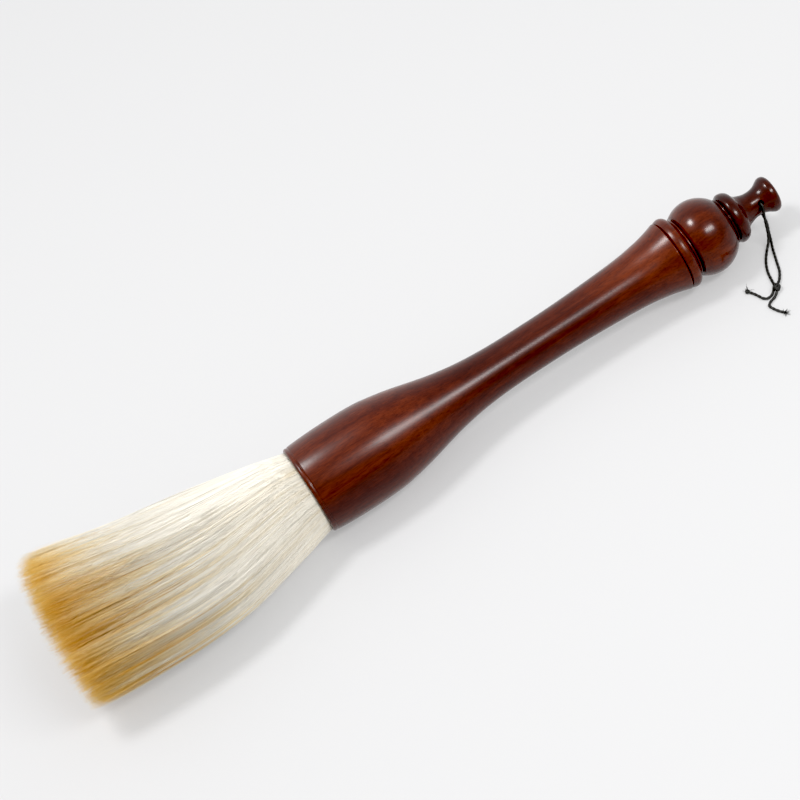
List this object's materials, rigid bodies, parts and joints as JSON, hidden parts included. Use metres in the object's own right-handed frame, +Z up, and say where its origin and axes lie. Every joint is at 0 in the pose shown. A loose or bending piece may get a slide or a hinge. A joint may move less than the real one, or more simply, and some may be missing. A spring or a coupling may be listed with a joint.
{
  "type": "calligraphy brush",
  "caption": "Large calligraphy brush: turned hardwood handle with a round finial, a wide goat-hair tuft set in its cup, and a hanging loop of waxed cord.",
  "frame": {"origin": "middle of the box around the brush without its cord, on the surface that it lies on", "axes": "+X along the brush from the tuft to the finial, +Y to the left of someone looking along +X, +Z up"},
  "size_m": [0.4208, 0.1128, 0.0629],
  "materials": {
    "lacquered_rosewood": "gloss",
    "dowel_wood": "matte",
    "rosin": "gloss",
    "goat_hair": "satin",
    "golden_hair": "satin",
    "binding_thread": "matte",
    "waxed_cord": "satin"
  },
  "bodies": {
    "handle": {"handle_shank": "lacquered_rosewood", "flare_collar": "lacquered_rosewood", "spacer_disc": "lacquered_rosewood", "finial_ball": "lacquered_rosewood", "finial_spool": "lacquered_rosewood", "assembly_dowel": "dowel_wood", "hair_glue_plug": "rosin", "hair_root_bundle": "goat_hair", "root_binding_thread": "binding_thread", "cord_front_strand": "waxed_cord", "cord_back_strand": "waxed_cord", "cord_knot": "waxed_cord", "cord_left_tail": "waxed_cord", "cord_right_tail": "waxed_cord"},
    "tuft": {"hair_core": "golden_hair", "hair_mantle": "goat_hair"}
  },
  "joints": [
    {"name": "tuft_bend", "type": "hinge", "parent": "handle", "child": "tuft", "pos_m": [-0.08204, -0.00726, 0.02551], "axis": [0, 0, 1], "range_deg": [-25, 25], "stiffness_Nm_per_rad": 0.3}
  ]
}
